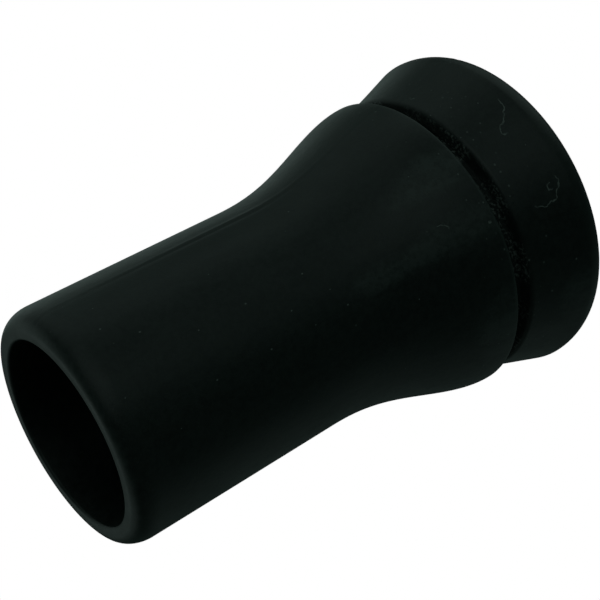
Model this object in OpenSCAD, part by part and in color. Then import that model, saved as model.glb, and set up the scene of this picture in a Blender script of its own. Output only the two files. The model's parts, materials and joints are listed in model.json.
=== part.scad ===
// Dust blower bulb: a moulded rubber squeeze bulb with an open nozzle mouth, standing on a
// flared end cap that carries a small spring-loaded air inlet valve.
// Millimetres. +Z runs up the bulb's axis, and z = 0 is the face that the base rim stands on.

/* [Overall] */
// Height from the base rim to the mouth lip
total_h = 54; // [45:0.5:75]
// Largest diameter, over the flared base rim
rim_d = 35; // [29:0.5:45]

/* [Bulb body] */
// Diameter of the bore that the nozzle plugs into
bore_d = 19.2; // [14:0.2:24]
// Thickness of the rubber wall round the bore
wall_t = 2.3; // [1.4:0.1:3]
// How much the tube grows from its waist to the mouth, on the radius
tube_draft = 0.2; // [0:0.05:0.5]
// Diameter of the shoulder at the wide end
shoulder_d = 32; // [31:0.5:40]
// Height of the flare from the shoulder up to the tube
flare_h = 18; // [12:0.5:22]
// How slowly the flare leaves the tube
flare_start = 2.2; // [1.5:0.1:3]
// How quickly the flare turns upright at the shoulder
flare_end = 1.8; // [1.2:0.1:3]
// Radius worn onto the shoulder's lower edge
shoulder_edge = 0.3; // [0.1:0.05:0.6]
// Height of the round on the outside of the mouth lip
lip_h = 2.4; // [0.8:0.1:3]
// Depth of that round, across the wall
lip_round = 1.5; // [0.5:0.1:1.8]
// Radius on the inside edge of the mouth
lip_inner = 0.3; // [0.1:0.05:0.5]

/* [End cap] */
// Height of the flared ring
ring_h = 9; // [8:0.1:12]
// How far the ring's upper edge stands inside the shoulder, on the radius
ring_step = 0.4; // [0:0.1:1.5]
// Radius on the ring's upper edge
ring_edge = 0.6; // [0.2:0.1:1]
// Depth of the round under the rim, across the ring
rim_round = 2.1; // [1:0.1:2.6]
// Height of the round under the rim
rim_rise = 2.7; // [1:0.1:4]
// Height of the finger groove between the ring and the shoulder
groove_gap = 2.3; // [1.5:0.1:4]
// Depth of the finger groove, inwards from the shoulder
groove_depth = 2.3; // [1.5:0.1:2.6]
// Thickness of the bulb wall outside the cap's spigot
socket_wall = 3.3; // [2.8:0.1:4]
// Length of the spigot that plugs into the bulb
spigot_len = 6; // [4.5:0.1:8]
// Thickness of the spigot's wall
spigot_wall = 2.4; // [1.6:0.1:3]
// How far the locking bead stands out of the spigot
bead_out = 0.5; // [0.2:0.05:0.8]
// Diameter of the recess under the cap
recess_d = 22; // [18:0.5:24]
// Depth of the recess under the cap
recess_h = 2.4; // [2:0.1:3]
// Thickness of the web that holds the valve
web_t = 3; // [2:0.1:4]

/* [Inlet valve] */
// Diameter of the valve housing's flange
flange_d = 14.4; // [13:0.1:17]
// Thickness of the flange
flange_t = 1.4; // [1.3:0.05:1.7]
// Diameter of the housing's barrel, through the web
barrel_d = 10; // [8.3:0.1:12]
// How far the barb stands out over the web
barb_out = 1; // [0.4:0.1:1.5]
// Height of the barb
barb_h = 2.2; // [1.5:0.1:3]
// Height of the valve seat above the web
seat_rise = 3.8; // [3.6:0.1:5]
// Diameter of the air passage
passage_d = 6.8; // [5:0.1:8.2]
// Overlap of the valve disc on its seat, on the radius
seat_overlap = 1.2; // [0.6:0.1:1.5]
// Thickness of the valve disc
disc_t = 1; // [0.6:0.1:1.5]
// Diameter of the valve stem
stem_d = 1.6; // [1.3:0.1:2]
// Distance that the valve lifts
valve_lift = 1.2; // [0.6:0.1:1.4]
// Diameter of the spring wire
spring_wire = 0.25; // [0.2:0.05:0.3]
// Outside diameter of the spring
spring_d = 3.2; // [2.8:0.1:3.8]
// Number of working coils in the spring
spring_coils = 4; // [3:1:5]
// Diameter of the dust screen
screen_d = 9.8; // [9:0.1:11.6]
// Thickness of the dust screen
screen_t = 0.3; // [0.2:0.05:0.4]
// Spacing of the screen's wires
screen_pitch = 0.9; // [0.7:0.05:1.3]
// Thickness of the ring that holds the screen
screen_ring_t = 0.7; // [0.5:0.05:0.85]
// Width of the ring that holds the screen
screen_ring_w = 1.1; // [0.6:0.1:1.4]

/* [Clearances] */
// Gap round the spigot in its socket, on the radius
push_gap = 0.1; // [0.05:0.01:0.2]
// Gap round the stem in its guide, on the radius
guide_gap = 0.05; // [0.02:0.01:0.1]

/* [Hidden] */
$fn = 96;
rubber = [0.07, 0.075, 0.075];
seal_grey = [0.2, 0.2, 0.21];
brass = [0.75, 0.6, 0.32];
steel = [0.72, 0.73, 0.75];

bore_r = bore_d / 2;
tube_r = bore_r + wall_t;
mouth_r = tube_r + tube_draft;
shoulder_r = shoulder_d / 2;
joint_z = ring_h + groove_gap;       // plane where the bulb sits on the cap
flare_base = joint_z + shoulder_edge;
flare_top = flare_base + flare_h;
flare_steps = 24;

rim_r = rim_d / 2;
ring_top_r = shoulder_r - ring_step;
floor_r = shoulder_r - groove_depth; // bottom of the finger groove
socket_r = shoulder_r - socket_wall;
spigot_r = socket_r - push_gap;
spigot_inner_r = spigot_r - spigot_wall;
spigot_top = joint_z + spigot_len;
socket_top = spigot_top + push_gap;
spigot_lead = 0.6;                   // chamfer that starts the spigot into its socket
groove_fillet = 0.4;
bead_z = joint_z + spigot_len / 2;
bead_foot = 0.9;                     // half height of the locking bead where it leaves the spigot
bead_crest = 0.3;                    // half height of its flat top

web_top = recess_h + web_t;
web_fillet = 0.8;
flange_z = recess_h - flange_t;
flange_r = flange_d / 2;
barrel_r = barrel_d / 2;
barb_land = 0.4;                     // upright edge of the barb, under its cone
passage_r = passage_d / 2;
seat_z = web_top + seat_rise;
disc_r = passage_r + seat_overlap;
stem_r = stem_d / 2;
guide_r = stem_r + guide_gap;
hub_r = stem_r + 0.9;
spider_t = 1;
spider_top = seat_z - 1.6;
spider_z = spider_top - spider_t;
arm_w = 1.1;
arm_count = 3;
chamfer = 0.25;

head_r = stem_r + 1;
head_h = 0.6;
clip_t = 0.3;
clip_neck_r = 0.7 * stem_r;          // stem radius in the clip's groove
clip_gap = 0.02;
clip_r = spring_d / 2 + 0.2;
clip_slot = 1.4 * clip_neck_r;
tip_len = 0.4;                       // stem left below the clip
screen_r = screen_d / 2;
screen_wire = 0.3;
screen_hem = 0.6;
pocket_z = flange_z + screen_ring_t + screen_t;
flat_turns = 1;                      // closed turn at each end of the spring
spring_turns = spring_coils + 2 * flat_turns;
spring_solid = (spring_turns + 1) * spring_wire;
spring_spare = 0.45;                 // travel left in the spring when the valve is fully open
spring_len = spring_solid + valve_lift + spring_spare;
spring_z = spider_z - spring_len;
spring_r = (spring_d - spring_wire) / 2;
clip_z = spring_z - clip_t;          // underside of the clip

// Points on a quarter of an ellipse about [r, z], from angle a0 to angle a1
function corner(r, z, across, up, a0, a1, steps = 8) =
    [for (i = [0:steps]) let (a = a0 + (a1 - a0) * i / steps) [r + across * cos(a), z + up * sin(a)]];

// The flare's share of the way from the tube, at u = 0, to the shoulder, at u = 1
function flare_share(u) = 1 - pow(1 - pow(u, flare_start), flare_end);

// Outside radius of the bulb in its flare, at height z
function flare_r(z) = tube_r + (shoulder_r - tube_r) * flare_share((flare_top - z) / flare_h);

// Heights from a to b in equal steps
function heights(a, b, steps) = [for (i = [0:steps]) a + (b - a) * i / steps];

// The locking bead's outline on a wall of radius r, or its groove when gap is over 0
function bead(r, gap = 0) = [
    [r, bead_z - bead_foot - gap],
    [r + bead_out, bead_z - bead_crest - gap],
    [r + bead_out, bead_z + bead_crest + gap],
    [r, bead_z + bead_foot + gap]
];

function reversed(list) = [for (i = [len(list) - 1:-1:0]) list[i]];

// The squeeze bulb: bore, waisted tube, flare and the socket for the cap
module bulb_body() {
    outside = [for (z = heights(flare_base, flare_top, flare_steps)) [flare_r(z), z]];
    chamber = [for (z = heights(flare_top, socket_top, flare_steps)) [flare_r(z) - wall_t, z]];
    color(rubber) rotate_extrude()
        polygon(concat(
            corner(shoulder_r - shoulder_edge, flare_base, shoulder_edge, shoulder_edge, -90, -10, 4),
            outside,
            corner(mouth_r - lip_round, total_h - lip_h, lip_round, lip_h, 0, 90, 12),
            corner(bore_r + lip_inner, total_h - lip_inner, lip_inner, lip_inner, 100, 180, 5),
            chamber,
            [[socket_r, socket_top]],
            reversed(bead(socket_r, push_gap)),
            [[socket_r, joint_z]]
        ));
}

// The flared foot that plugs the wide end, with its finger groove, spigot and valve web
module end_cap() {
    color(rubber) rotate_extrude()
        polygon(concat(
            [[recess_d / 2, 0]],
            corner(rim_r - rim_round, rim_rise, rim_round, rim_rise, -90, 0, 12),
            corner(ring_top_r - ring_edge, ring_h - ring_edge, ring_edge, ring_edge, 15, 90, 6),
            corner(floor_r + groove_fillet, ring_h + groove_fillet, groove_fillet, groove_fillet, 270, 180, 5),
            [[floor_r, joint_z], [spigot_r, joint_z]],
            bead(spigot_r),
            [[spigot_r, spigot_top - spigot_lead], [spigot_r - spigot_lead, spigot_top]],
            [[spigot_inner_r, spigot_top]],
            corner(spigot_inner_r - web_fillet, web_top + web_fillet, web_fillet, web_fillet, 0, -90, 6),
            [[barrel_r, web_top], [barrel_r, recess_h], [recess_d / 2, recess_h]]
        ));
}

// The spider's hub and arms, which reach a little into the passage wall
module spider() {
    cylinder(r = hub_r, h = spider_t);
    for (i = [0:arm_count - 1])
        rotate([0, 0, i * 360 / arm_count])
            translate([0, -arm_w / 2, 0])
                cube([passage_r + 0.1, arm_w, spider_t]);
}

// The turned brass bush: flange, barbed barrel, air passage, valve seat and stem guide
module valve_housing() {
    color(brass) difference() {
        union() {
            rotate_extrude()
                polygon([
                    [screen_r, flange_z],
                    [flange_r - chamfer, flange_z],
                    [flange_r, flange_z + chamfer],
                    [flange_r, recess_h],
                    [barrel_r, recess_h],
                    [barrel_r, web_top],
                    [barrel_r + barb_out, web_top],
                    [barrel_r + barb_out, web_top + barb_land],
                    [barrel_r, web_top + barb_h],
                    [barrel_r, seat_z - chamfer],
                    [barrel_r - chamfer, seat_z],
                    [passage_r, seat_z],
                    [passage_r, pocket_z],
                    [screen_r, pocket_z]
                ]);
            translate([0, 0, spider_z])
                spider();
        }
        translate([0, 0, spider_z - 1])
            cylinder(r = guide_r, h = spider_t + 2);
    }
}

// The soft disc that closes the passage
module valve_disc() {
    color(seal_grey) translate([0, 0, seat_z])
        rotate_extrude()
            polygon([
                [stem_r, 0],
                [disc_r - chamfer, 0],
                [disc_r, chamfer],
                [disc_r, disc_t - chamfer],
                [disc_r - chamfer, disc_t],
                [stem_r, disc_t]
            ]);
}

// The pin that carries the disc, with a domed head above it and a neck for the clip
module valve_stem() {
    tip_z = clip_z - tip_len;
    head_z = seat_z + disc_t;
    color(brass) rotate_extrude()
        polygon(concat(
            [[0, tip_z], [stem_r - chamfer, tip_z], [stem_r, tip_z + chamfer], [stem_r, clip_z]],
            [[clip_neck_r, clip_z], [clip_neck_r, spring_z], [stem_r, spring_z], [stem_r, head_z]],
            corner(0, head_z, head_r, head_h, 0, 90)
        ));
}

// The open clip that snaps into the stem's neck and carries the spring
module stem_clip() {
    color(steel) translate([0, 0, clip_z])
        linear_extrude(clip_t)
            difference() {
                circle(r = clip_r);
                circle(r = clip_neck_r + clip_gap);
                translate([0, -clip_slot / 2])
                    square([clip_r + 1, clip_slot]);
            }
}

// The coil spring under the spider, closed and flat at both ends
module valve_spring() {
    sides = 8;
    steps = 20;                      // rings in each turn
    rings = spring_turns * steps;
    working = spring_len - spring_wire * (1 + 2 * flat_turns);
    // height of the wire's centre after t turns: one wire a turn at the ends, even between them
    function flat_rise(t) = spring_wire * (min(t, flat_turns) + max(t - spring_turns + flat_turns, 0));
    function rise(t) = spring_wire / 2 + flat_rise(t)
        + working * min(max(t - flat_turns, 0), spring_coils) / spring_coils;
    points = [for (i = [0:rings]) let (t = i / steps, a = 360 * t)
        for (j = [0:sides - 1]) let (b = 360 * j / sides, r = spring_r + spring_wire / 2 * cos(b))
            [r * cos(a), r * sin(a), rise(t) + spring_wire / 2 * sin(b)]];
    skin = [for (i = [0:rings - 1]) for (j = [0:sides - 1]) let (k = (j + 1) % sides)
        [i * sides + j, i * sides + k, (i + 1) * sides + k, (i + 1) * sides + j]];
    first = [for (j = [sides - 1:-1:0]) j];
    last = [for (j = [0:sides - 1]) rings * sides + j];
    color(steel) translate([0, 0, spring_z])
        polyhedron(points = points, faces = concat([first], skin, [last]), convexity = 8);
}

// The dust screen in the inlet: crossed wires in a flat hem
module dust_screen() {
    span = floor(screen_r / screen_pitch) * screen_pitch;
    color(steel) translate([0, 0, flange_z + screen_ring_t])
        linear_extrude(screen_t)
            union() {
                difference() {
                    circle(r = screen_r);
                    circle(r = screen_r - screen_hem);
                }
                intersection() {
                    circle(r = screen_r - screen_hem / 2);
                    for (x = [-span:screen_pitch:span])
                        union() {
                            translate([x - screen_wire / 2, -screen_r])
                                square([screen_wire, screen_d]);
                            translate([-screen_r, x - screen_wire / 2])
                                square([screen_d, screen_wire]);
                        }
                }
            }
}

// The ring pressed in under the screen
module screen_ring() {
    color(brass) rotate_extrude()
        polygon([
            [screen_r - screen_ring_w + chamfer, flange_z],
            [screen_r, flange_z],
            [screen_r, flange_z + screen_ring_t],
            [screen_r - screen_ring_w, flange_z + screen_ring_t],
            [screen_r - screen_ring_w, flange_z + chamfer]
        ]);
}

bulb_body();
end_cap();
valve_housing();
valve_disc();
valve_stem();
stem_clip();
valve_spring();
dust_screen();
screen_ring();
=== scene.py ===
# %% [markdown]
# # A watchmaker's dust blower bulb
#
# The tool is a black rubber bulb that stands on a flared foot. Its open mouth takes a nozzle, and a
# small valve in the foot lets clean air back in after each squeeze. The packed model already fixes
# every size and joint, so this lesson only dresses it: it builds finer surfaces where the packed
# pieces stand, gives each one a finish, and sets up a camera and a few lamps.

# %% Load the packed model
import json
import bmesh
import bpy
import numpy as np
from mathutils import Matrix, Vector


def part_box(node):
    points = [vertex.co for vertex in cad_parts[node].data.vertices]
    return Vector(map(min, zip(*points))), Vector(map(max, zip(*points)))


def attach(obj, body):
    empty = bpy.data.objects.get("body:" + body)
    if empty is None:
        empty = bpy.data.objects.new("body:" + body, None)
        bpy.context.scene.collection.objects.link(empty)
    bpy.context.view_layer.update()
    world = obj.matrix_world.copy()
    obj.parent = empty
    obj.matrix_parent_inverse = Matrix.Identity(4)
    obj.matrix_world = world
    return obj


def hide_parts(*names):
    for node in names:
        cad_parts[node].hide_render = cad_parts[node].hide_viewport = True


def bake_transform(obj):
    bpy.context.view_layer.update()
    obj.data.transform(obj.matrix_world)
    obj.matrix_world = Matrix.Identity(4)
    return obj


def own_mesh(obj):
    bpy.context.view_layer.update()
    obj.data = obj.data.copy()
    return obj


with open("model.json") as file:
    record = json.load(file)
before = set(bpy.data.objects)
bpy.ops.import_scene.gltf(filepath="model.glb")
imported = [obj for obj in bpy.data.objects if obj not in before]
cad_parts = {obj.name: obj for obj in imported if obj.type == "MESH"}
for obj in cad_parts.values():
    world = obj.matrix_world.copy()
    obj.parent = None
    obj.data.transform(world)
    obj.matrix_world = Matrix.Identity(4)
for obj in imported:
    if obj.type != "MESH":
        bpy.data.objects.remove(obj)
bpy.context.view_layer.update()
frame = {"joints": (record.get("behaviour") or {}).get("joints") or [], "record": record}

# %% [markdown]
# ## Sizes
#
# Millimetres are easier to think in at this scale, so every shape below is worked out in millimetres
# and turned into metres once, when its mesh is made. The overall sizes are read from the packed
# pieces. That way the surfaces follow if the model is packed again at another size.

# %% Sizes read from the packed pieces
MM = 0.001                           # one millimetre in metres


def extent(node):
    """Lowest height, highest height and largest radius of a packed node, in millimetres."""
    low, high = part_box(node)
    return low.z / MM, high.z / MM, high.x / MM


JOINT_Z, MOUTH_Z, SHOULDER_R = extent("bulb_body")
SPIGOT_TOP, RIM_R = extent("end_cap")[1:]
mounts = {m["name"]: m for m in frame["record"]["mounts"]}
BORE_R = mounts["mouth_bore"]["dims"]["r_mm"]
print(f"height {MOUTH_Z:.2f}, rim radius {RIM_R:.2f}, shoulder {SHOULDER_R:.2f} at {JOINT_Z:.2f}")

# %% [markdown]
# ## The camera
#
# The bulb lies across the view, with its mouth towards the lower left and its axis leaning 28
# degrees towards the lens. The model stands upright instead, so the camera does the leaning: it
# looks down on the bulb from 28 degrees and is rolled until the mouth points to the lower left. A
# camera matrix is easiest to write as three directions, which are its right, its up and its back.

# %% The camera
SENSOR = 36                          # width of the camera's sensor, in millimetres
LENS = 88.4                          # focal length, in millimetres
DISTANCE = 147.9                     # from the aim point to the lens, along the line of sight
AIM_Z = 26.1                         # height of the aim point on the bulb's axis
DROP = 0.58                          # how far below the view's centre the aim point lies
LEAN = np.radians(28.0)              # how far the mouth leans towards the lens
POINTING = np.radians(208.7)         # direction of the mouth in the view, from its right

axis_seen = np.array([np.cos(LEAN) * np.cos(POINTING), np.cos(LEAN) * np.sin(POINTING), np.sin(LEAN)])
side_seen = np.array([np.sin(POINTING), -np.cos(POINTING), 0])
turn = np.stack([side_seen, np.cross(axis_seen, side_seen), axis_seen])   # camera to model
camera_data = bpy.data.cameras.new("camera")
camera_data.lens = LENS
camera_data.sensor_width = SENSOR
camera_data.clip_start = 0.01
camera = bpy.data.objects.new("camera", camera_data)
bpy.context.scene.collection.objects.link(camera)
place = np.eye(4)
place[:3, :3] = turn
place[:3, 3] = (np.array([0, 0, AIM_Z]) - turn @ np.array([0, -DROP, -DISTANCE])) * MM
camera.matrix_world = Matrix(place.tolist())
bpy.context.scene.camera = camera
print("camera at", np.round(place[:3, 3] / MM, 1), "mm")

# %% [markdown]
# ## Turned and swept surfaces
#
# Almost everything here is round, so two builders make nearly every piece. `revolve` turns an
# outline about the Z axis, and `sweep` carries a section along a path. Both work out the whole grid
# of points at once and join each point to its neighbours by index. Where an outline meets the axis,
# a whole row of points falls on one place, and merging those closes the pole.

# %% From a grid of points to a mesh
def skin(points, around, along, caps=False):
    """Points, and faces that join each grid point to its neighbours, closed around or along if
    asked. Caps fill the first and the last row."""
    rows, columns = points.shape[:2]
    index = np.arange(rows * columns).reshape(rows, columns)
    if along:
        index = np.vstack([index, index[:1]])
    if around:
        index = np.hstack([index, index[:, :1]])
    quads = np.stack([index[:-1, :-1], index[:-1, 1:], index[1:, 1:], index[1:, :-1]], axis=-1)
    faces = quads.reshape(-1, 4).tolist()
    if caps:
        faces += [index[0, :columns][::-1].tolist(), index[-1, :columns].tolist()]
    return points.reshape(-1, 3), faces


MERGE = 1e-8                         # points this close, in metres, are one
CREASE = 40                          # degrees


def solid(name, *skins):
    """One object from several skins given in millimetres, merged, facing outwards and shaded
    smooth, with a sharp edge wherever two faces meet at more than the crease angle."""
    starts = np.cumsum([0] + [len(points) for points, _ in skins])
    faces = [[start + i for i in face] for start, (_, part) in zip(starts, skins) for face in part]
    mesh = bpy.data.meshes.new(name)
    mesh.from_pydata(np.concatenate([points for points, _ in skins]) * MM, [], faces)
    work = bmesh.new()
    work.from_mesh(mesh)
    bmesh.ops.remove_doubles(work, verts=work.verts, dist=MERGE)
    bmesh.ops.recalc_face_normals(work, faces=work.faces)
    work.to_mesh(mesh)
    volume = work.calc_volume() / MM ** 3
    work.free()
    mesh.shade_smooth()
    mesh.set_sharp_from_angle(angle=np.radians(CREASE))
    made = bpy.data.objects.new(name, mesh)
    bpy.context.scene.collection.objects.link(made)
    print(f"{name}: {len(mesh.polygons)} faces, {volume:.1f} mm3")
    return made


# %% Outlines
def arc(centre, across, up, start, stop, count=9):
    """Points on an ellipse: centre + (across cos a, up sin a), for a from start to stop degrees."""
    angle = np.radians(np.linspace(start, stop, count))
    return np.stack([centre[0] + across * np.cos(angle), centre[1] + up * np.sin(angle)], axis=1)


SHARE = 0.45                         # an eased corner takes at most this share of a side
ON_AXIS = 1e-6                       # a radius this small, in millimetres, is on the axis


def eased(corners, radius, steps=5):
    """A closed outline with its corners eased: each corner c becomes the curve
    (1-t)^2 p + 2t(1-t) c + t^2 q, where p and q lie on the two sides, a radius away from c or less
    on a short side. A corner on the axis stays sharp."""
    corners = np.asarray(corners, float)
    before = np.roll(corners, 1, axis=0) - corners
    after = np.roll(corners, -1, axis=0) - corners
    long_before = np.linalg.norm(before, axis=1, keepdims=True)
    long_after = np.linalg.norm(after, axis=1, keepdims=True)
    reach = np.minimum(np.minimum(long_before, long_after) * SHARE, radius)
    reach = np.where(corners[:, :1] < ON_AXIS, 0, reach)
    first = corners + before / long_before * reach
    last = corners + after / long_after * reach
    t = np.linspace(0, 1, steps)[None, :, None]
    curve = (1 - t) ** 2 * first[:, None] + 2 * t * (1 - t) * corners[:, None] + t ** 2 * last[:, None]
    return curve.reshape(-1, 2)


# %% Builders
TURN = np.linspace(0, 2 * np.pi, 192, endpoint=False)


def revolve(outline, angles=TURN, swell=0, lift=0, closed=True):
    """The outline turned about Z: a point (r, z) goes to (R cos a, R sin a, z + lift), where R is
    r + swell. Swell and lift are one value, or a grid of them."""
    outline = np.asarray(outline, float)
    radius = outline[:, :1] + swell
    height = outline[:, 1:] + lift + 0 * angles
    points = np.stack([radius * np.cos(angles), radius * np.sin(angles), height], axis=-1)
    return skin(points, around=True, along=closed)


def sweep(path, across, up, section):
    """The section carried along a path: a point (s, t) of it goes to path + s across + t up."""
    path, across, up = np.broadcast_arrays(np.asarray(path, float), across, up)
    section = np.asarray(section, float)
    points = path[:, None] + section[..., 0:1] * across[:, None] + section[..., 1:2] * up[:, None]
    return skin(points, around=True, along=False, caps=True)


# %% [markdown]
# ## The bulb
#
# The bulb is moulded rubber: a straight thick-lipped tube, a waist, and a bell that ends in a crisp
# shoulder. Its flare is one formula. With u running from 0 at the top of the flare to 1 at the
# shoulder, the radius has gone 1 - (1 - u^2.2)^1.8 of the way from the tube's to the shoulder's, so
# it leaves the tube softly and arrives upright. A mould in two halves leaves a seam down both sides:
# a low ridge on one side of the line and a shallow hollow on the other, where the halves didn't
# quite meet. It's real relief of a few hundredths of a millimetre, so the grid is finest there.

# %% Moulded seams
SEAM = np.radians(58.5 - 90)         # the seam's angle about Z; the other one is opposite
SEAM_FINE = 0.9                      # millimetres to each side where the grid is fine
SEAM_HIGH = 0.052                    # height of the ridge, and depth of the hollow beside it
SEAM_WIDE = 0.29                     # half the width of each
SEAM_APART = 0.24                    # how far each lies from the seam


def seam_angles(radius, coarse=224, fine=25):
    """Angles for a grid: coarse and even all round, with fine ones packed beside both seams."""
    even = np.linspace(0, 2 * np.pi, coarse, endpoint=False)
    near = np.linspace(-1, 1, fine) * SEAM_FINE / radius
    off = np.abs((even - SEAM + np.pi / 2) % np.pi - np.pi / 2)
    return np.sort(np.concatenate([even[off > SEAM_FINE / radius], (SEAM + near) % (2 * np.pi),
                                   (SEAM + np.pi + near) % (2 * np.pi)]))


def seam_swell(outline, angles, strength):
    """Height of the seam's relief: one bell curve for the ridge less another for the hollow, times
    the strength at each point of the outline."""
    off = (angles - SEAM + np.pi / 2) % np.pi - np.pi / 2
    beside = outline[:, :1] * off[None, :]
    ridge = SEAM_HIGH * np.exp(-((beside - SEAM_APART) / SEAM_WIDE) ** 2)
    hollow = SEAM_HIGH * np.exp(-((beside + SEAM_APART) / SEAM_WIDE) ** 2)
    return strength[:, None] * (ridge - hollow)


def drift(outline, angles, size=0.03):
    """The slight want of roundness of moulded rubber: an oval and a weaker three-sided wave, which
    both turn slowly along the height and together reach no more than size."""
    height = outline[:, 1:]
    oval = np.sin(2 * angles + height / 17)
    three_sided = np.sin(3 * angles - height / 11 + 1)
    return size * (oval + 0.6 * three_sided) / 1.6


print(f"seams at {np.degrees(SEAM):.1f} and {np.degrees(SEAM) + 180:.1f} degrees")

# %% The bulb's outline
WALL = 2.3
TAPER = 0.2
TUBE_R = BORE_R + WALL               # at the waist
LIP_R = TUBE_R + TAPER               # at the mouth
LIP_DEEP, LIP_HIGH = 1.5, 2.4        # round on the outside of the lip
LIP_INNER = 0.3                      # round on its inside
SHOULDER_EDGE = 0.3                  # round on the shoulder's edge
FLARE_HIGH = 18
FLARE_BASE = JOINT_Z + SHOULDER_EDGE
FLARE_TOP = FLARE_BASE + FLARE_HIGH
PUSH_GAP = 0.1                       # room between the foot's spigot and its socket in the bulb
SOCKET_WALL = 3.3                    # from the socket out to the shoulder
SOCKET_R = SHOULDER_R - SOCKET_WALL
SOCKET_TOP = SPIGOT_TOP + PUSH_GAP
BEAD_Z = (JOINT_Z + SPIGOT_TOP) / 2
BEAD_OUT = 0.5
BEAD_HALF, BEAD_FLAT = 0.9, 0.3      # half its height at the root, and at the crest
BEAD_SOFT = 0.12
PLAINEST_Z, PLAIN_REACH = 31, 10     # where the seam shows most, and how soon it weakens


def flare(height):
    """Outside radius at a height in the flare: tube + (shoulder - tube) (1 - (1 - u^2.2)^1.8)."""
    u = (FLARE_TOP - height) / FLARE_HIGH
    return TUBE_R + (SHOULDER_R - TUBE_R) * (1 - (1 - u ** 2.2) ** 1.8)


def bead(radius, gap=0.0):
    """The locking bead on a wall, or with a gap the groove that takes it."""
    crest = radius + BEAD_OUT
    return eased([(radius, BEAD_Z - BEAD_HALF - gap), (crest, BEAD_Z - BEAD_FLAT - gap),
                  (crest, BEAD_Z + BEAD_FLAT + gap), (radius, BEAD_Z + BEAD_HALF + gap)], BEAD_SOFT, 4)


outer_z = np.linspace(FLARE_BASE, FLARE_TOP, 49)
tube_z = np.linspace(FLARE_TOP, MOUTH_Z - LIP_HIGH, 32)[1:-1]
tube_r = TUBE_R + TAPER * (tube_z - FLARE_TOP) / (MOUTH_Z - LIP_HIGH - FLARE_TOP)
bore_z = np.linspace(MOUTH_Z - LIP_INNER, FLARE_TOP, 22)[1:-1]
chamber_z = np.linspace(FLARE_TOP, SOCKET_TOP, 33)
outside = np.concatenate([
    arc((SHOULDER_R - SHOULDER_EDGE, FLARE_BASE), SHOULDER_EDGE, SHOULDER_EDGE, -90, -8, 9),
    np.stack([flare(outer_z), outer_z], axis=1),
    np.stack([tube_r, tube_z], axis=1),
    arc((LIP_R - LIP_DEEP, MOUTH_Z - LIP_HIGH), LIP_DEEP, LIP_HIGH, 0, 90, 25)])
inside = np.concatenate([
    arc((BORE_R + LIP_INNER, MOUTH_Z - LIP_INNER), LIP_INNER, LIP_INNER, 96, 180, 9),
    np.stack([0 * bore_z + BORE_R, bore_z], axis=1),
    np.stack([flare(chamber_z) - WALL, chamber_z], axis=1),
    [(SOCKET_R, SOCKET_TOP)],
    bead(SOCKET_R, PUSH_GAP)[::-1],
    [(SOCKET_R, JOINT_Z)]])
bulb_outline = np.concatenate([outside, inside])
plain = 0.12 + 0.88 * np.exp(-((outside[:, 1] - PLAINEST_Z) / PLAIN_REACH) ** 2)
bulb_seam = np.concatenate([plain, np.zeros(len(inside))])
print(f"tube {TUBE_R:.2f}, lip {LIP_R:.2f}, flare from {FLARE_TOP:.2f} down to {FLARE_BASE:.2f}")

# %% The bulb's surface
bulb_angles = seam_angles(TUBE_R)
bulb_swell = seam_swell(bulb_outline, bulb_angles, bulb_seam) + drift(bulb_outline, bulb_angles)
bulb = solid("rubber_bulb", revolve(bulb_outline, bulb_angles, bulb_swell))

# %% [markdown]
# ## The foot
#
# The foot is a second moulding. Its ring widens downwards and turns under in a soft round, and a
# groove separates it from the bulb's shoulder. Above the groove a spigot with a locking bead plugs
# the bulb, and a web across the middle carries the valve. It's one closed outline again, with the
# soft corners as arcs. The ring's upper edge isn't level: by the seam it stands a little high, so
# its points are lifted there by a share that grows from nothing at mid height to all at the edge.

# %% The foot
RING_TOP = 9.0
RING_TOP_R = SHOULDER_R - 0.4        # the ring is a little narrower than the shoulder it meets
RING_EDGE = 0.6
RIM_DEEP, RIM_HIGH = 2.1, 2.7        # round on the rim
GROOVE_DEEP = 2.3
GROOVE_R = SHOULDER_R - GROOVE_DEEP
GROOVE_SOFT = 0.4
SPIGOT_R = SOCKET_R - PUSH_GAP
SPIGOT_WALL = 2.4
SPIGOT_BORE = SPIGOT_R - SPIGOT_WALL
SPIGOT_LEAD = 0.6                    # bevel that helps the spigot in
RECESS_R = 11.0
RECESS_Z = 2.4
RECESS_SOFT = 0.5
WEB = 3.0                            # thickness of the web
WEB_TOP = RECESS_Z + WEB
WEB_SOFT = 0.8
BARREL_R = 5.0                       # the hole that holds the valve's barrel
FOOT_SEAM = 0.3                      # the seam's strength on the foot
EDGE_LIFT = 0.5                      # how high the ring's upper edge stands by the seam
LIFT_FROM = 5.0                      # height where the lift begins

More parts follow.
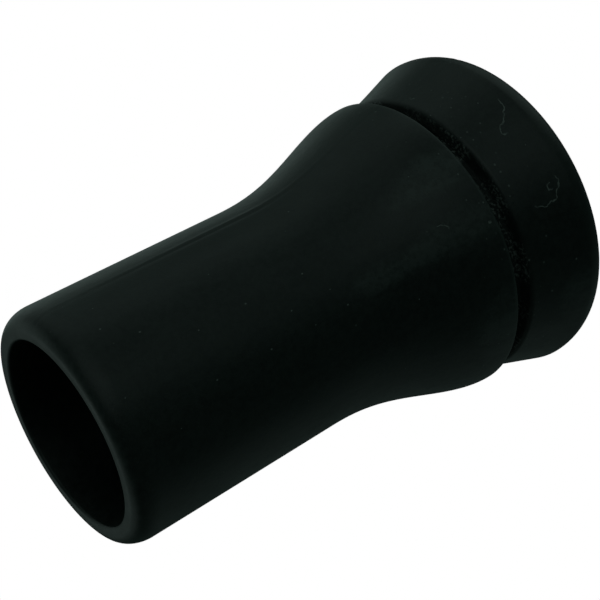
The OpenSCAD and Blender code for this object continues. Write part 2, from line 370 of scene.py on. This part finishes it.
foot_outside = np.concatenate([
    arc((RIM_R - RIM_DEEP, RIM_HIGH), RIM_DEEP, RIM_HIGH, -90, 0, 21),
    np.linspace((RIM_R, RIM_HIGH), (RING_TOP_R, RING_TOP - RING_EDGE), 14)[1:-1],
    arc((RING_TOP_R - RING_EDGE, RING_TOP - RING_EDGE), RING_EDGE, RING_EDGE, 15, 90, 9)])
foot_inside = np.concatenate([
    arc((GROOVE_R + GROOVE_SOFT, RING_TOP + GROOVE_SOFT), GROOVE_SOFT, GROOVE_SOFT, 270, 180, 7),
    [(GROOVE_R, JOINT_Z), (SPIGOT_R, JOINT_Z)],
    bead(SPIGOT_R),
    [(SPIGOT_R, SPIGOT_TOP - SPIGOT_LEAD), (SPIGOT_R - SPIGOT_LEAD, SPIGOT_TOP)],
    [(SPIGOT_BORE, SPIGOT_TOP)],
    arc((SPIGOT_BORE - WEB_SOFT, WEB_TOP + WEB_SOFT), WEB_SOFT, WEB_SOFT, 0, -90, 9),
    [(BARREL_R, WEB_TOP), (BARREL_R, RECESS_Z)],
    arc((RECESS_R - RECESS_SOFT, RECESS_Z - RECESS_SOFT), RECESS_SOFT, RECESS_SOFT, 90, 0, 7),
    [(RECESS_R, 0.0)]])
foot_outline = np.concatenate([foot_outside, foot_inside])
foot_seam = np.concatenate([np.full(len(foot_outside), FOOT_SEAM), np.zeros(len(foot_inside))])
foot_angles = seam_angles(RIM_R)
foot_swell = seam_swell(foot_outline, foot_angles, foot_seam)
on_ring = foot_outline[:, :1] > GROOVE_R + 0.2
share = np.clip((foot_outline[:, 1:] - LIFT_FROM) / (RING_TOP - LIFT_FROM), 0, 1) * on_ring
foot_lift = EDGE_LIFT * share ** 2 * np.clip(np.cos(foot_angles - SEAM), 0, 1) ** 2
foot = solid("flared_foot", revolve(foot_outline, foot_angles, foot_swell, foot_lift))

# %% [markdown]
# ## The inlet valve
#
# The valve is a turned brass bush, barbed so that the rubber grips it, with a three-armed guide in
# its passage. A pin runs in the guide. It carries a soft disc on the seat above, and below the guide
# a weak spring pushes on a clip in the pin's neck, which draws the disc shut. Small turned parts
# read as real when their corners catch a line of light, so every corner here is eased a little.

# %% The valve housing
FLANGE_Z, SEAT_Z, FLANGE_R = extent("valve_housing")
SCREEN_Z, POCKET_Z, SCREEN_R = extent("dust_screen")
PASSAGE_R = 3.4
BARB_OUT, BARB_HIGH, BARB_LAND = 1.0, 2.2, 0.4
BARB_R = BARREL_R + BARB_OUT
BEVEL = 0.2                          # on the flange's lower edge and round the seat
STEM_R = 0.8
GUIDE_R = STEM_R + 0.05              # the pin slides in it
HUB_WALL = 0.9
HUB_R = STEM_R + HUB_WALL
SPIDER_DEEP, SPIDER_HIGH = 1.6, 1.0  # how far below the seat the guide lies, and its height
SPIDER_TOP = SEAT_Z - SPIDER_DEEP
SPIDER_Z = SPIDER_TOP - SPIDER_HIGH
ARM_WIDE = 1.1
UP = np.array([0, 0, 1.0])

bush = revolve(eased([
    (SCREEN_R, FLANGE_Z), (FLANGE_R - BEVEL, FLANGE_Z), (FLANGE_R, FLANGE_Z + BEVEL), (FLANGE_R, RECESS_Z),
    (BARREL_R, RECESS_Z), (BARREL_R, WEB_TOP), (BARB_R, WEB_TOP), (BARB_R, WEB_TOP + BARB_LAND),
    (BARREL_R, WEB_TOP + BARB_HIGH), (BARREL_R, SEAT_Z - BEVEL), (BARREL_R - BEVEL, SEAT_Z),
    (PASSAGE_R, SEAT_Z), (PASSAGE_R, POCKET_Z), (SCREEN_R, POCKET_Z)], 0.08))
hub = revolve(eased([
    (GUIDE_R, SPIDER_Z), (HUB_R, SPIDER_Z), (HUB_R, SPIDER_TOP), (GUIDE_R, SPIDER_TOP)], 0.12))


def arm(turned):
    """One arm of the guide: an eased rectangle carried outwards from the hub into the passage wall."""
    out = np.array([np.cos(turned), np.sin(turned), 0])
    aside = np.array([-np.sin(turned), np.cos(turned), 0])
    reach = np.linspace(HUB_R - 0.3, PASSAGE_R + 0.1, 8)[:, None]
    path = reach * out + UP * (SPIDER_Z + SPIDER_TOP) / 2
    wide, high = ARM_WIDE / 2, SPIDER_HIGH / 2
    section = eased([(-wide, -high), (wide, -high), (wide, high), (-wide, high)], 0.15)
    return sweep(path, aside, UP, section)


housing = solid("brass_housing", bush, hub, *[arm(a) for a in np.radians([0, 120, 240])])

# %% The valve disc and its pin
DISC_TOP, DISC_R = extent("valve_disc")[1:]
STEM_TIP, HEAD_TOP, HEAD_R = extent("valve_stem")
CLIP_Z, CLIP_TOP, CLIP_R = extent("stem_clip")
NECK_R = 0.7 * STEM_R                # the groove in the pin that holds the clip
DISC_BEVEL = 0.15
CROWN_WIDE, CROWN_HIGH = 0.45, 0.3   # slope round the top of the disc
TIP_BEVEL = 0.25

disc = solid("seal_disc", revolve(eased([
    (STEM_R, SEAT_Z), (DISC_R - DISC_BEVEL, SEAT_Z), (DISC_R, SEAT_Z + DISC_BEVEL),
    (DISC_R, DISC_TOP - CROWN_HIGH), (DISC_R - CROWN_WIDE, DISC_TOP), (STEM_R, DISC_TOP)], 0.2)))
stem = eased([
    (0, STEM_TIP), (STEM_R - TIP_BEVEL, STEM_TIP), (STEM_R, STEM_TIP + TIP_BEVEL), (STEM_R, CLIP_Z),
    (NECK_R, CLIP_Z), (NECK_R, CLIP_TOP), (STEM_R, CLIP_TOP), (STEM_R, DISC_TOP),
    (HEAD_R - 0.02, DISC_TOP)], 0.05)[5:-5]          # its two end corners are left out
head = arc((0, DISC_TOP), HEAD_R, HEAD_TOP - DISC_TOP, 4, 90, 17)
stem_outline = np.concatenate([[(0, STEM_TIP)], stem, head])
pin = solid("valve_pin", revolve(stem_outline, closed=False))

# %% The clip
SLOT_HALF = np.radians(24)           # half the angle of the clip's opening
CLIP_PLAY = 0.02                     # between the neck and the three places where the clip grips it
CLIP_WAVE = 0.16                     # half the depth of the hollows between those places
clip_turn = np.linspace(SLOT_HALF, 2 * np.pi - SLOT_HALF, 97)
clip_inner = NECK_R + CLIP_PLAY + CLIP_WAVE * (1 - np.cos(3 * (clip_turn - np.pi)))
clip_middle = (clip_inner + CLIP_R) / 2
clip_half = (CLIP_R - clip_inner) / 2
clip_high = (CLIP_TOP - CLIP_Z) / 2
unit = eased([(-1, -1), (1, -1), (1, 1), (-1, 1)], 0.25) * np.array([1, clip_high])
clip_out = np.stack([np.cos(clip_turn), np.sin(clip_turn), 0 * clip_turn], axis=1)
clip_section = unit[None] * np.stack([clip_half, 0 * clip_half + 1], axis=1)[:, None]
clip_path = clip_out * clip_middle[:, None] + UP * (CLIP_Z + clip_high)
clip = solid("pin_clip", sweep(clip_path, clip_out, UP, clip_section))

# %% The spring
WIRE = 0.25
COILS = 4
SPRING_R = extent("valve_spring")[2] - WIRE / 2
SPRING_Z = CLIP_TOP
spring_turns = COILS + 2             # the working coils and one flat turn at each end
t = np.linspace(0, spring_turns, spring_turns * 40 + 1)
free = SPIDER_Z - SPRING_Z - 3 * WIRE   # height that the working coils share out
rise = (WIRE / 2 + WIRE * (np.minimum(t, 1) + np.maximum(t - spring_turns + 1, 0))
        + free * np.clip(t - 1, 0, COILS) / COILS)
coil_out = np.stack([np.cos(2 * np.pi * t), np.sin(2 * np.pi * t), 0 * t], axis=1)
coil_path = coil_out * SPRING_R + np.stack([0 * t, 0 * t, SPRING_Z + rise], axis=1)
spring = solid("valve_coil", sweep(coil_path, coil_out, UP, arc((0, 0), WIRE / 2, WIRE / 2, 0, 330, 12)))

# %% [markdown]
# ## The dust screen
#
# The screen is woven wire: each wire passes over one neighbour and under the next, which is a cosine
# with a wavelength of two spacings. The wires that cross it have the opposite phase, so the two sets
# touch without passing through each other. A rolled hem holds their ends, and a brass ring is
# pressed in below.

# %% The screen and its ring
RETAINER_Z, RETAINER_TOP, RETAINER_R = extent("screen_ring")
THREAD = (POCKET_Z - SCREEN_Z) / 2   # wire diameter: two wires make the screen's thickness
PITCH = 0.45
HEM_WIDE = 0.6
RETAINER_WIDE, RETAINER_BEVEL = 1.1, 0.25
weave_z = (SCREEN_Z + POCKET_Z) / 2
reach_r = SCREEN_R - 0.35            # the wires end inside the hem


def thread(number, lengthwise):
    """One wire of the weave: at s along its run it stands THREAD/2 cos(pi (s/PITCH + number)) high,
    and half a wave further on where it runs lengthwise."""
    place = number * PITCH
    half = np.sqrt(reach_r ** 2 - place ** 2)
    s = np.linspace(-half, half, max(8, int(half / PITCH * 12)))
    lift = THREAD / 2 * np.cos(np.pi * (s / PITCH + number + lengthwise))
    path = np.stack([s, 0 * s + place, weave_z + lift], axis=1)
    aside = np.array([0, 1.0, 0])
    if lengthwise:
        path, aside = path[:, [1, 0, 2]], np.array([1.0, 0, 0])
    return sweep(path, aside, UP, arc((0, 0), THREAD / 2, THREAD / 2, 0, 300, 6))


count = int(reach_r / PITCH)
threads = [thread(k, way) for way in (0, 1) for k in range(-count, count + 1)]
hem = revolve(eased([(SCREEN_R - HEM_WIDE, SCREEN_Z), (SCREEN_R, SCREEN_Z), (SCREEN_R, POCKET_Z),
                     (SCREEN_R - HEM_WIDE, POCKET_Z)], 0.12))
screen = solid("woven_screen", hem, *threads)
retainer_bore = RETAINER_R - RETAINER_WIDE
retainer = solid("screen_retainer", revolve(eased([
    (retainer_bore + RETAINER_BEVEL, RETAINER_Z), (RETAINER_R, RETAINER_Z), (RETAINER_R, RETAINER_TOP),
    (retainer_bore, RETAINER_TOP), (retainer_bore, RETAINER_Z + RETAINER_BEVEL)], 0.07)))

# %% [markdown]
# ## Materials
#
# A material is a small sum, and node by node it's hard to read. So a class wraps a socket, and
# Python's own operators add the Math nodes: `1 - mask * 0.4` builds what it says. Any other node
# comes from one method, which sets the node's settings first and then its sockets.

# %% Sums that become nodes
class Wire:
    """A socket in a material's sum. Arithmetic on it adds Math nodes."""

    def __init__(self, paint, socket):
        self.paint = paint
        self.socket = socket

    def _math(self, operation, a, b=0.0):
        return self.paint.node("Math", {"operation": operation}, {0: a, 1: b})

    def __add__(self, other):
        return self._math("ADD", self, other)

    def __sub__(self, other):
        return self._math("SUBTRACT", self, other)

    def __mul__(self, other):
        return self._math("MULTIPLY", self, other)

    def __pow__(self, other):
        return self._math("POWER", self, other)

    def __radd__(self, other):
        return self._math("ADD", other, self)

    def __rsub__(self, other):
        return self._math("SUBTRACT", other, self)

    def __rmul__(self, other):
        return self._math("MULTIPLY", other, self)

    def __abs__(self):
        return self._math("ABSOLUTE", self)

    def least(self, other):
        return self._math("MINIMUM", self, other)

    def most(self, other):
        return self._math("MAXIMUM", self, other)

    def fade(self, start, stop):
        """0 at start and 1 at stop, with a soft slope between."""
        return self.paint.node("MapRange", {"interpolation_type": "SMOOTHSTEP", "clamp": True},
                               {0: self, 1: start, 2: stop, 3: 0.0, 4: 1.0})

    def sibling(self, output):
        """Another output of the node that this socket is on, by name or number."""
        return Wire(self.paint, self.socket.node.outputs[output])


print("sums:", [name for name in vars(Wire) if not name.startswith("_")])

# %% A material being made
class Paint:
    """A material being made: one Principled shader, and the nodes that feed it."""

    def __init__(self, name, **constants):
        self.material = bpy.data.materials.new(name)
        self.material.use_nodes = True
        self.tree = self.material.node_tree
        self.shader = self.tree.nodes["Principled BSDF"]
        for socket, value in constants.items():
            self.shader.inputs[socket.replace("_", " ")].default_value = value

    def node(self, kind, settings=None, inputs=None, out=0):
        """Any node: its settings first, then the values or links of its sockets."""
        made = self.tree.nodes.new("ShaderNode" + kind)
        for name, value in (settings or {}).items():
            setattr(made, name, value)
        for name, value in (inputs or {}).items():
            self.feed(made.inputs[name], value)
        return Wire(self, made.outputs[out])

    def feed(self, socket, value):
        """Links a socket to a wire, or sets it to a value."""
        if isinstance(value, Wire):
            self.tree.links.new(value.socket, socket)
        else:
            socket.default_value = value

    def set(self, **inputs):
        """Feeds the shader's own sockets."""
        for name, value in inputs.items():
            self.feed(self.shader.inputs[name.replace("_", " ")], value)

    def place(self):
        """The place on the piece, in millimetres, that stays with the surface as it moves: the whole
        vector, then x, y and z."""
        where = self.node("Attribute", {"attribute_name": "place_mm"}, out="Vector")
        split = self.node("SeparateXYZ", None, {0: where})
        return where, split, split.sibling(1), split.sibling(2)

    def angle(self, across, up):
        """The angle of the direction (across, up), in radians."""
        return self.node("Math", {"operation": "ARCTAN2"}, {0: up, 1: across})

    def noise(self, where, size, detail=3.0, roughness=0.55, offset=(0, 0, 0)):
        """Soft noise from 0 to 1 whose lumps are about size millimetres across. An offset keeps two
        noises from falling together."""
        moved = self.node("Mapping", None, {"Vector": where, "Location": offset})
        return self.node("TexNoise", None, {"Vector": moved, "Scale": 1 / size, "Detail": detail,
                                            "Roughness": roughness})

    def blend(self, factor, a, b):
        """Colour a where factor is 0 and colour b where it is 1."""
        return self.node("Mix", {"data_type": "RGBA"}, {0: factor, 6: a, 7: b}, out=2)

    def bump(self, height, depth, under=None):
        """A normal tilted by height, which is from 0 to 1 and stands for depth in millimetres."""
        inputs = {"Height": height, "Distance": depth * MM, "Strength": 1.0}
        if under is not None:
            inputs["Normal"] = under
        return self.node("Bump", None, inputs)


def grey(value, tint=(1, 1, 1)):
    """A colour of one brightness with a slight tint."""
    return (value * tint[0], value * tint[1], value * tint[2], 1)


print("grey(0.5):", grey(0.5))

# %% [markdown]
# ## Black rubber
#
# New rubber is a soft satin black. In use it blooms: a faint grey cast in drifting patches and
# streaks, and a few given patches are paler still; a thin one along the shoulder's edge is a painted
# highlight. Edges are painted pale: rubbed wear, and on the bulb's shoulder and lip also a painted
# highlight. Dust sits on it as tiny specks that gather by the groove, lint fills the groove, and a
# few curled hairs cling on. These are thinner than any modelled thickness, so they are colour and
# roughness. The grain of the mould is a bump far smaller than the shape, while the seams and edges
# are in the mesh.
#
# Marks that run round the piece are drawn on it as if it were unrolled: one number is how far
# round a point is, in millimetres from the -Y side towards +X, and the other is its height.

# %% Dust, hairs and pale patches, one of them a painted highlight
UNROLL_R = RIM_R - 0.8               # radius at which the surface is unrolled


def specks(paint, unrolled, spacing, size, chance, offset):
    """Dust: a dot of up to size millimetres in each cell of a loose grid, kept where luck, a random
    number from 0 to 1 for each cell, is below the chance."""
    moved = paint.node("Mapping", None, {"Vector": unrolled, "Location": offset})
    cells = paint.node("TexVoronoi", {"voronoi_dimensions": "2D"},
                       {"Vector": moved, "Scale": 1 / spacing, "Randomness": 1.0})
    luck = paint.node("SeparateColor", None, {0: cells.sibling("Color")})
    big = luck.sibling(1)
    return (cells * (spacing / size)).fade(0.4 + big * 0.6, 0.1) * luck.fade(chance, chance * 0.4)


def hair(paint, turned, height, middle, raised, radius, start, stop, width=0.078):
    """A curled hair of lint: a stretch of a circle on the unrolled surface, with its centre at
    (middle, raised), between two angles in degrees."""
    across = turned - middle
    up = height - raised
    far = (across * across + up * up) ** 0.5
    line = abs(far - radius).fade(width, width * 0.3)
    angle = paint.angle(across, up) * (180 / np.pi)
    centre, half = (start + stop) / 2, (stop - start) / 2
    off = abs(paint.node("Math", {"operation": "WRAP"}, {0: angle - centre, 1: 180.0, 2: -180.0}))
    return line * off.fade(half + 4, half)


def pale_patch(turned, height, middle, raised, half_wide, half_high):
    """A paler patch: 1 at its middle, fading out to an oval edge. As a thin strip on the shoulder's edge
    it is a painted highlight.
    """
    across = (turned - middle) * (1 / half_wide)
    up = (height - raised) * (1 / half_high)
    return (across * across + up * up).fade(1.0, 0.0)


print(f"unrolled at {UNROLL_R:.1f}, so one turn is {2 * np.pi * UNROLL_R:.0f} mm long")

# %% Lint
GROOVE_Z = JOINT_Z - 1.2             # about the middle of the groove


def lint(paint, where, unrolled, turned, z, radius, hairs):
    """Specks everywhere and more of them by the groove, lint in it, and curled hairs. Gives how
    much of it there is, from 0 to 1, and how far a point is inside the groove."""
    by_groove = abs(z - GROOVE_Z).fade(7.0, 1.0)
    in_groove = abs(z - GROOVE_Z).fade(1.4, 1.0) * radius.fade(SHOULDER_R - 0.5, SHOULDER_R - 0.9)
    clumps = paint.noise(where, 2.6, 2.0, 0.5, (7, 7, 2)).fade(0.4, 0.6)
    fibres = paint.noise(where, 0.3, 3.0, 0.6, (3, 8, 4)).fade(0.48, 0.62)
    fluff = specks(paint, unrolled, 3.2, 0.17, 0.26, (0, 0, 0))
    fluff = fluff.most(specks(paint, unrolled, 0.9, 0.21, 0.26, (5, 3, 0)) * by_groove * clumps)
    fluff = fluff.most(fibres * clumps * in_groove)
    sway = (paint.noise(where, 0.9, 2.0, 0.5, (4, 4, 4)) - 0.5) * 0.9
    bob = (paint.noise(where, 0.9, 2.0, 0.5, (9, 1, 6)) - 0.5) * 0.9
    frayed = 0.35 + paint.noise(where, 0.35, 2.0, 0.5, (6, 2, 3)).fade(0.35, 0.6) * 0.65
    for curl in hairs:
        fluff = fluff.most(hair(paint, turned + sway, z + bob, *curl) * frayed)
    return fluff, in_groove


print(f"lint gathers at {GROOVE_Z:.1f}, in the groove from {RING_TOP:.1f} up to {JOINT_Z:.1f}")

# %% The rubber
RUBBER_TINT = (0.5, 1.1, 0.97)       # the bare rubber leans to green, and the bloom on it less
BLOOM_TINT = (0.82, 1.05, 0.98)
BARE = grey(0.006, RUBBER_TINT)
BLOOMED = grey(0.045, BLOOM_TINT)
RUBBED_AND_HIGHLIT = grey(0.06, BLOOM_TINT)
DUST = (0.17, 0.19, 0.18, 1)


def rubber(name, rubbed_and_highlit_edges, hairs, patches):
    """Black moulded rubber. A paler edge, rubbed wear that on the bulb is also a painted highlight, is
    (height, reach, strength), a hair is (distance round, height, radius, first angle, last angle), and a
    patch, paler and as a thin strip a painted highlight, is (distance round, height, half its width, half
    its height)."""
    paint = Paint(name, IOR=1.5, Specular_IOR_Level=0.5)
    where, x, y, z = paint.place()
    radius = (x * x + y * y) ** 0.5
    turned = paint.angle(0 - y, x) * UNROLL_R
    unrolled = paint.node("CombineXYZ", None, {0: turned, 1: z - radius})
    # Keeps the edges' wear and painted highlight, and the dust, out of the bore.
    outer = radius.fade(BORE_R + 0.6, BORE_R + 1.2)     # nothing rubs or settles in the bore

    bloom = paint.noise(where, 8.0, 4.0, 0.55).fade(0.36, 0.70)
    drawn = paint.node("Mapping", None, {"Vector": where, "Scale": (1, 1, 0.28)})
    streaks = paint.noise(drawn, 1.9, 4.0, 0.62, (3, 7, 1)).fade(0.36, 0.70)
    mottle = paint.noise(where, 0.7, 5.0, 0.75, (11, 2, 5)).fade(0.34, 0.66)
    grit = paint.noise(where, 0.16, 2.0, 0.5, (1, 4, 8)).fade(0.54, 0.8)
    haze_and_highlight = bloom * 0.085 + streaks * 0.085 + mottle * 0.23 + grit * 0.21
    # Paler patches; the thin strip along the shoulder's edge is a painted highlight.
    for patch in patches:
        haze_and_highlight = haze_and_highlight + pale_patch(turned, z, *patch) * (0.45 + streaks * 0.55) * (0.55 + mottle * 0.75)
    colour = paint.blend(haze_and_highlight.least(1.0), BARE, BLOOMED)

    # Edges painted paler: rubbed wear, and on the bulb's shoulder edge and lip also a painted highlight.
    worn_and_highlit = 0.0
    for height, reach, strength in rubbed_and_highlit_edges:
        worn_and_highlit = (abs(z - height).fade(reach, 0.0) * (0.55 + mottle * 0.6) * strength).most(worn_and_highlit)
    colour = paint.blend(worn_and_highlit * outer, colour, RUBBED_AND_HIGHLIT)

    fluff, in_groove = lint(paint, where, unrolled, turned, z, radius, hairs)
    fluff = fluff * outer
    rough = 0.42 + bloom * 0.04 - streaks * 0.03 + (mottle - 0.5) * 0.06
    grain = paint.noise(where, 0.24, 4.0, 0.65, (2, 9, 4))
    paint.set(Base_Color=paint.blend(fluff.least(1.0), colour, DUST),
              Roughness=rough + fluff.most(in_groove) * 0.3,
              Normal=paint.bump(grain, 0.008, paint.bump(mottle, 0.006)))
    print(f"{name}: {len(paint.tree.nodes)} nodes")
    return paint.material


bulb_rubber = rubber(
    "black_rubber",
    # The shoulder edge and the lip are painted paler: partly rubbed wear, partly a painted highlight.
    rubbed_and_highlit_edges=[(JOINT_Z + 0.15, 0.35, 0.8), (MOUTH_Z - 0.1, 0.7, 0.4)],
    hairs=[(-0.1, 16.6, 0.5, -115, 25), (-1.8, 12.2, 0.10, -180, 180)],
    # The last patch, a thin strip along the shoulder's edge, is a painted highlight.
    patches=[(5.6, 14.8, 2.9, 6.0), (-1.0, 15.5, 2.8, 6.0), (-1.6, 23.0, 2.2, 5.5),
             (-13.5, 12.5, 5.5, 4.5), (-15.0, 11.5, 10.0, 0.45)])
foot_rubber = rubber(
    "foot_rubber",
    rubbed_and_highlit_edges=[(0.0, 0.6, 0.3)],
    hairs=[(8.6, 6.2, 2.6, -165, -91), (5.6, 5.15, 0.55, 30, 175), (-1.3, 5.4, 1.7, 130, 283),
           (-1.5, 4.4, 0.35, 0, 200), (16.2, 7.8, 0.6, 60, 130)],
    patches=[(-14.0, 3.5, 4.0, 3.0)])

# %% [markdown]
# ## Brass, steel and the seal
#
# Turned brass keeps the lathe's fine rings, so its bump follows the height and the radius. Drawn
# wire has finer lines. The seal is a softer and greyer rubber than the bulb's.

# %% Metals and the seal
def turned_metal(name, dark, light, roughness, rings, tarnish):
    """Metal with fine rings, as far apart as rings says in millimetres, from a lathe tool or a
    die, and a tarnish that dulls it in patches."""
    paint = Paint(name, Metallic=1.0)
    where, x, y, z = paint.place()
    radius = (x * x + y * y) ** 0.5
    lathe = paint.node("Math", {"operation": "SINE"}, {0: (radius + z) * (2 * np.pi / rings)})
    patch = paint.noise(where, 1.8, 4.0, 0.6).fade(0.35, 0.7)
    fine = paint.noise(where, 0.15, 2.0)
    paint.set(Base_Color=paint.blend(patch * tarnish, light, dark),
              Roughness=roughness + patch * 0.14 + fine * 0.08,
              Normal=paint.bump(lathe * 0.5 + fine, 0.004))
    return paint.material


def seal_rubber(name):
    """The soft grey seal: satin, finely grained, with a little talc left on it."""
    paint = Paint(name, IOR=1.5)
    where, _, _, _ = paint.place()
    talc = paint.noise(where, 0.9, 4.0, 0.6).fade(0.45, 0.75)
    grain = paint.noise(where, 0.12, 3.0)
    paint.set(Base_Color=paint.blend(talc, (0.05, 0.05, 0.055, 1), (0.12, 0.12, 0.125, 1)),
              Roughness=0.55 + talc * 0.15, Normal=paint.bump(grain, 0.006))
    return paint.material


brass = turned_metal("turned_brass", (0.36, 0.22, 0.08, 1), (0.68, 0.47, 0.19, 1), 0.24, 0.12, 0.7)
steel = turned_metal("spring_steel", (0.30, 0.30, 0.31, 1), (0.56, 0.57, 0.59, 1), 0.22, 0.05, 0.5)
wire = turned_metal("screen_wire", (0.32, 0.32, 0.33, 1), (0.60, 0.61, 0.62, 1), 0.30, 0.05, 0.5)
seal = seal_rubber("seal_rubber")
print("finishes:", sorted(m.name for m in (bulb_rubber, foot_rubber, brass, steel, wire, seal)))

# %% [markdown]
# ## Putting the pieces on their bodies
#
# Each surface but the bulb's rides the same body as the packed node that it stands for; the bulb's
# surface keeps its place baked into its mesh. The patterns read a place that is stored on the mesh,
# so they stay put if the surface moves. The spring gets a mesh of its own.

# %% Dress and fasten every piece
def fasten(piece, node, material):
    """Gives a piece its finish and its places for patterns, and hides the packed node that it
    replaces."""
    mesh = piece.data
    mesh.materials.append(material)
    places = np.empty(len(mesh.vertices) * 3, np.float32)
    mesh.vertices.foreach_get("co", places)
    mesh.attributes.new("place_mm", "FLOAT_VECTOR", "POINT").data.foreach_set("vector", places / MM)
    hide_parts(node)


riders = [(foot, "end_cap", "cap_rubber", foot_rubber, "base"),
          (housing, "valve_housing", "turned_brass", brass, "base"),
          (screen, "dust_screen", "screen_wire", wire, "base"),
          (retainer, "screen_ring", "turned_brass", brass, "base"),
          (spring, "valve_spring", "spring_steel", steel, "base"),
          (disc, "valve_disc", "seal_rubber", seal, "valve"),
          (pin, "valve_stem", "turned_brass", brass, "valve"),
          (clip, "stem_clip", "spring_steel", steel, "valve")]
for piece, node, slot, material, body in riders:
    fasten(piece, node, material)
    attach(piece, body)

# %% Dress the bulb and give the spring its own mesh
LIFT = next(j for j in frame["joints"] if j["name"] == "valve_lift")["range_m"][1] / MM

fasten(bulb, "bulb_body", bulb_rubber)
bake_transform(bulb)
1 - LIFT / (SPIDER_Z - SPRING_Z)
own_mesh(spring)

# %% [markdown]
# ## Floor and light
#
# The floor is plain and pale. Black rubber reflects about 4% of what is round it as a soft gleam,
# and white surroundings would turn it grey. So the floor and the room are white to the camera's own
# rays and a dim grey green to all others: Light Path tells the two kinds of ray apart. The bulb lies
# in the view as if on its side, so some of its light comes from below the floor, which therefore
# lets every ray but the camera's through. All this is done only on the floor and the world, which
# aren't part of the object.

# %% The room
ROOM_TINT = (0.60, 1.02, 0.88)
ROOM_FELT, FLOOR_FELT = 0.023, 0.01  # how bright the room and the floor are to the rubber


def surroundings(tree, seen, felt, out_name):
    """A colour that is bright to the camera's own rays and dim to all others, in an emptied tree."""
    tree.nodes.clear()
    out = tree.nodes.new(out_name)
    path = tree.nodes.new("ShaderNodeLightPath")
    shade = tree.nodes.new("ShaderNodeMix")
    shade.data_type = "RGBA"
    tree.links.new(path.outputs["Is Camera Ray"], shade.inputs[0])
    shade.inputs[6].default_value = grey(felt, ROOM_TINT)
    shade.inputs[7].default_value = grey(seen)
    return out, shade.outputs[2]


world = bpy.data.worlds.new("studio")
bpy.context.scene.world = world
world.use_nodes = True
out, colour = surroundings(world.node_tree, 1.0, ROOM_FELT, "ShaderNodeOutputWorld")
background = world.node_tree.nodes.new("ShaderNodeBackground")
world.node_tree.links.new(colour, background.inputs["Color"])
world.node_tree.links.new(background.outputs[0], out.inputs["Surface"])
print("room:", world.name)

# %% The floor
FLOOR_Z = -0.02 * MM                 # a hair under the foot, so that the two never lie in one plane
FLOOR_HALF = 2                       # metres to each side

floor_mesh = bpy.data.meshes.new("floor")
floor_mesh.from_pydata([(-FLOOR_HALF, -FLOOR_HALF, FLOOR_Z), (FLOOR_HALF, -FLOOR_HALF, FLOOR_Z),
                        (FLOOR_HALF, FLOOR_HALF, FLOOR_Z), (-FLOOR_HALF, FLOOR_HALF, FLOOR_Z)],
                       [], [(0, 1, 2, 3)])
floor = bpy.data.objects.new("floor", floor_mesh)
bpy.context.scene.collection.objects.link(floor)
floor_paint = bpy.data.materials.new("pale_floor")
floor_paint.use_nodes = True
floor_tree = floor_paint.node_tree
out, colour = surroundings(floor_tree, 1.0, FLOOR_FELT, "ShaderNodeOutputMaterial")
glow, clear, both, sheet, path = [floor_tree.nodes.new("ShaderNode" + kind) for kind in (
    "Emission", "BsdfTransparent", "AddShader", "MixShader", "LightPath")]
for start, end in [(colour, glow.inputs["Color"]),
                   (glow.outputs[0], both.inputs[0]),
                   (clear.outputs[0], both.inputs[1]),
                   (path.outputs["Is Camera Ray"], sheet.inputs[0]),
                   (both.outputs[0], sheet.inputs[1]),
                   (glow.outputs[0], sheet.inputs[2]),
                   (sheet.outputs[0], out.inputs["Surface"])]:
    floor_tree.links.new(start, end)
floor_mesh.materials.append(floor_paint)
print(f"floor: {2 * FLOOR_HALF} m wide")

# %% [markdown]
# ## Lamps
#
# Satin black shows a lamp where the surface faces halfway between the lamp and the camera. So each
# lamp is placed by two angles as seen from the camera: how far it stands off the line of sight, and
# in which direction of the view. Wide ones above draw the soft gleam along the tube and the flare.
# Ones beyond the bulb, more than 90 degrees off, only graze it and draw thin lines of light along
# its outline.

# %% Lamps
LAMP_FAR = 400                       # every lamp's distance, in millimetres
LAMP_AIM = np.array([0, 0, 30.0])
LAMP_TINT = (0.78, 1.02, 0.95)


def lamp(name, off_view, clock, size, power):
    """A soft round lamp. off_view is its angle from the line of sight, and clock its direction in
    the view, anticlockwise from the right, both in degrees."""
    off_view, clock = np.radians(off_view), np.radians(clock)
    direction = turn @ np.array([np.sin(off_view) * np.cos(clock), np.sin(off_view) * np.sin(clock),
                                 np.cos(off_view)])
    data = bpy.data.lights.new(name, "AREA")
    data.shape = "DISK"
    data.size = size * MM
    data.energy = power
    data.color = LAMP_TINT
    made = bpy.data.objects.new(name, data)
    bpy.context.scene.collection.objects.link(made)
    made.location = Vector((LAMP_AIM + direction * LAMP_FAR) * MM)
    made.rotation_mode = "QUATERNION"
    made.rotation_quaternion = Vector(-direction).to_track_quat("-Z", "Y")
    made.visible_camera = False


lamps = [("front_top", 25, 112, 420, 0.092),     # name, off_view, clock, width in mm, watts
         ("top", 87, 114, 420, 0.078),
         ("top_right", 52, 50, 420, 0.038),
         ("mouth_side", 100, 180, 420, 0.055),
         ("mouth_low", 100, 225, 420, 0.058),
         ("mouth_face", 122, 205, 200, 0.014),
         ("back_top", 152, 134, 360, 0.072),
         ("back_left", 125, 157, 420, 0.047),
         ("back_right", 109, 65, 420, 0.072),
         ("back_low", 132, 317, 420, 0.015),
         ("low_right", 101, 300, 360, 0.010)]
for settings in lamps:
    lamp(*settings)
print(f"{len(lamps)} lamps, {sum(power for *_, power in lamps):.2f} W together")

# %% Plain tones
view = bpy.context.scene.view_settings
view.view_transform = "Standard"
view.look = "None"
print("view transform:", view.view_transform)
